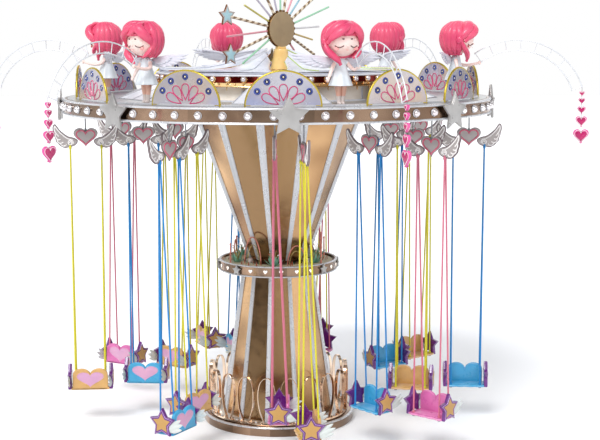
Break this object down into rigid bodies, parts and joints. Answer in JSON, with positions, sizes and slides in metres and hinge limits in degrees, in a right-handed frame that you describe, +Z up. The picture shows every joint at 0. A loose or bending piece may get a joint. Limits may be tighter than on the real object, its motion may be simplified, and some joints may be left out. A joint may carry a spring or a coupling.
{
  "type": "chair swing ride",
  "caption": "Fairground chair swing ride: a waisted tower with a turning crown, arched panels, winged dolls, a sunburst and two rings of hanging star-sided chairs",
  "frame": {"origin": "centre of the plinth's underside, on the ground", "axes": "+Z up; the picture's camera looks along +Y from the -Y side; +X to the right"},
  "size_m": [10.2722, 9.684, 8.123],
  "materials": {
    "rose_gold": "polished rose-gold metal",
    "bronze": "polished bronze panels",
    "silver": "silver trim",
    "deck_mirror": "mirror-polished deck",
    "panel_silver": "silver-grey face",
    "cream": "glossy cream",
    "white": "glossy white",
    "pearl_white": "pearl white",
    "butter": "cream-gold paint",
    "old_gold": "dark gold",
    "leaf": "pale green",
    "seat_gold": "moulded gold and purple",
    "seat_blue": "moulded blue and purple",
    "seat_pink": "moulded pink and purple"
  },
  "bodies": {
    "base": {"base_platform": "rose_gold", "loop_fence": "rose_gold", "lower_tower": "bronze", "lower_tower_ribs": "silver", "collar_tray": "rose_gold", "collar_garden": "leaf"},
    "crown": {"upper_cone": "bronze", "upper_cone_ribs": "silver", "crown_deck": "deck_mirror", "crown_band": "rose_gold", "arch_panels": "panel_silver", "tier_drum": "cream", "tier_apron": "white", "tent_roof": "white", "mast": "butter", "sunburst": "old_gold", "doll_1": "white", "doll_2": "white", "doll_3": "white", "doll_4": "white", "doll_5": "white", "doll_6": "white", "heart_arc_1": "pearl_white", "heart_arc_2": "pearl_white", "heart_arc_3": "pearl_white", "heart_arc_4": "pearl_white", "heart_arc_5": "pearl_white", "heart_arc_6": "pearl_white"},
    "swing_outer_1": {"swing_outer_1": "seat_gold"},
    "swing_outer_2": {"swing_outer_2": "seat_pink"},
    "swing_outer_3": {"swing_outer_3": "seat_blue"},
    "swing_outer_4": {"swing_outer_4": "seat_gold"},
    "swing_outer_5": {"swing_outer_5": "seat_gold"},
    "swing_outer_6": {"swing_outer_6": "seat_gold"},
    "swing_outer_7": {"swing_outer_7": "seat_pink"},
    "swing_outer_8": {"swing_outer_8": "seat_gold"},
    "swing_outer_9": {"swing_outer_9": "seat_blue"},
    "swing_inner_1": {"swing_inner_1": "seat_pink"},
    "swing_inner_2": {"swing_inner_2": "seat_blue"},
    "swing_inner_3": {"swing_inner_3": "seat_gold"},
    "swing_inner_4": {"swing_inner_4": "seat_blue"},
    "swing_inner_5": {"swing_inner_5": "seat_pink"},
    "swing_inner_6": {"swing_inner_6": "seat_blue"},
    "swing_inner_7": {"swing_inner_7": "seat_gold"},
    "swing_inner_8": {"swing_inner_8": "seat_blue"},
    "swing_inner_9": {"swing_inner_9": "seat_gold"}
  },
  "joints": [
    {"name": "crown_spin", "type": "hinge", "parent": "base", "child": "crown", "pos_m": [0, 0, 2.835], "axis": [0, 0, 1], "continuous": true},
    {"name": "swing_outer_1_hinge", "type": "hinge", "parent": "crown", "child": "swing_outer_1", "pos_m": [0.45231, -3.21837, 5.4], "axis": [-0.9903, -0.1392, 0], "range_deg": [-5, 30]},
    {"name": "swing_outer_2_hinge", "type": "hinge", "parent": "crown", "child": "swing_outer_2", "pos_m": [2.43411, -2.15352, 5.4], "axis": [-0.6626, -0.749, 0], "range_deg": [-5, 30]},
    {"name": "swing_outer_3_hinge", "type": "hinge", "parent": "crown", "child": "swing_outer_3", "pos_m": [3.24208, -0.22671, 5.4], "axis": [-0.0698, -0.9976, 0], "range_deg": [-5, 30]},
    {"name": "swing_outer_4_hinge", "type": "hinge", "parent": "crown", "child": "swing_outer_4", "pos_m": [2.59557, 1.9559, 5.4], "axis": [0.6018, -0.7986, 0], "range_deg": [-5, 30]},
    {"name": "swing_outer_5_hinge", "type": "hinge", "parent": "crown", "child": "swing_outer_5", "pos_m": [0.78625, 3.15346, 5.4], "axis": [0.9703, -0.2419, 0], "range_deg": [-5, 30]},
    {"name": "swing_outer_6_hinge", "type": "hinge", "parent": "crown", "child": "swing_outer_6", "pos_m": [-1.37351, 2.9455, 5.4], "axis": [0.9063, 0.4226, 0], "range_deg": [-5, 30]},
    {"name": "swing_outer_7_hinge", "type": "hinge", "parent": "crown", "child": "swing_outer_7", "pos_m": [-2.85616, 1.55077, 5.4], "axis": [0.4772, 0.8788, 0], "range_deg": [-5, 30]},
    {"name": "swing_outer_8_hinge", "type": "hinge", "parent": "crown", "child": "swing_outer_8", "pos_m": [-3.2386, -0.27195, 5.4], "axis": [-0.0837, 0.9965, 0], "range_deg": [-5, 30]},
    {"name": "swing_outer_9_hinge", "type": "hinge", "parent": "crown", "child": "swing_outer_9", "pos_m": [-1.57563, -2.84251, 5.4], "axis": [-0.8746, 0.4848, 0], "range_deg": [-5, 30]},
    {"name": "swing_inner_1_hinge", "type": "hinge", "parent": "crown", "child": "swing_inner_1", "pos_m": [0, -2.32, 5.4], "axis": [-1, 0, 0], "range_deg": [-5, 30]},
    {"name": "swing_inner_2_hinge", "type": "hinge", "parent": "crown", "child": "swing_inner_2", "pos_m": [1.49127, -1.77722, 5.4], "axis": [-0.766, -0.6428, 0], "range_deg": [-5, 30]},
    {"name": "swing_inner_3_hinge", "type": "hinge", "parent": "crown", "child": "swing_inner_3", "pos_m": [2.28115, -0.42279, 5.4], "axis": [-0.1822, -0.9833, 0], "range_deg": [-5, 30]},
    {"name": "swing_inner_4_hinge", "type": "hinge", "parent": "crown", "child": "swing_inner_4", "pos_m": [1.99898, 1.17749, 5.4], "axis": [0.5075, -0.8616, 0], "range_deg": [-5, 30]},
    {"name": "swing_inner_5_hinge", "type": "hinge", "parent": "crown", "child": "swing_inner_5", "pos_m": [0.79349, 2.18009, 5.4], "axis": [0.9397, -0.342, 0], "range_deg": [-5, 30]},
    {"name": "swing_inner_6_hinge", "type": "hinge", "parent": "crown", "child": "swing_inner_6", "pos_m": [-0.75532, 2.1936, 5.4], "axis": [0.9455, 0.3256, 0], "range_deg": [-5, 30]},
    {"name": "swing_inner_7_hinge", "type": "hinge", "parent": "crown", "child": "swing_inner_7", "pos_m": [-1.87692, 1.36366, 5.4], "axis": [0.5878, 0.809, 0], "range_deg": [-5, 30]},
    {"name": "swing_inner_8_hinge", "type": "hinge", "parent": "crown", "child": "swing_inner_8", "pos_m": [-2.31435, 0.16184, 5.4], "axis": [0.0698, 0.9976, 0], "range_deg": [-5, 30]},
    {"name": "swing_inner_9_hinge", "type": "hinge", "parent": "crown", "child": "swing_inner_9", "pos_m": [-1.41233, -1.84058, 5.4], "axis": [-0.7934, 0.6088, 0], "range_deg": [-5, 30]}
  ],
  "couplings": [
    {"joint": "swing_outer_2_hinge", "follows": "swing_outer_1_hinge", "ratio": 1},
    {"joint": "swing_outer_3_hinge", "follows": "swing_outer_1_hinge", "ratio": 1},
    {"joint": "swing_outer_4_hinge", "follows": "swing_outer_1_hinge", "ratio": 1},
    {"joint": "swing_outer_5_hinge", "follows": "swing_outer_1_hinge", "ratio": 1},
    {"joint": "swing_outer_6_hinge", "follows": "swing_outer_1_hinge", "ratio": 1},
    {"joint": "swing_outer_7_hinge", "follows": "swing_outer_1_hinge", "ratio": 1},
    {"joint": "swing_outer_8_hinge", "follows": "swing_outer_1_hinge", "ratio": 1},
    {"joint": "swing_outer_9_hinge", "follows": "swing_outer_1_hinge", "ratio": 1},
    {"joint": "swing_inner_1_hinge", "follows": "swing_outer_1_hinge", "ratio": 1},
    {"joint": "swing_inner_2_hinge", "follows": "swing_outer_1_hinge", "ratio": 1},
    {"joint": "swing_inner_3_hinge", "follows": "swing_outer_1_hinge", "ratio": 1},
    {"joint": "swing_inner_4_hinge", "follows": "swing_outer_1_hinge", "ratio": 1},
    {"joint": "swing_inner_5_hinge", "follows": "swing_outer_1_hinge", "ratio": 1},
    {"joint": "swing_inner_6_hinge", "follows": "swing_outer_1_hinge", "ratio": 1},
    {"joint": "swing_inner_7_hinge", "follows": "swing_outer_1_hinge", "ratio": 1},
    {"joint": "swing_inner_8_hinge", "follows": "swing_outer_1_hinge", "ratio": 1},
    {"joint": "swing_inner_9_hinge", "follows": "swing_outer_1_hinge", "ratio": 1}
  ]
}
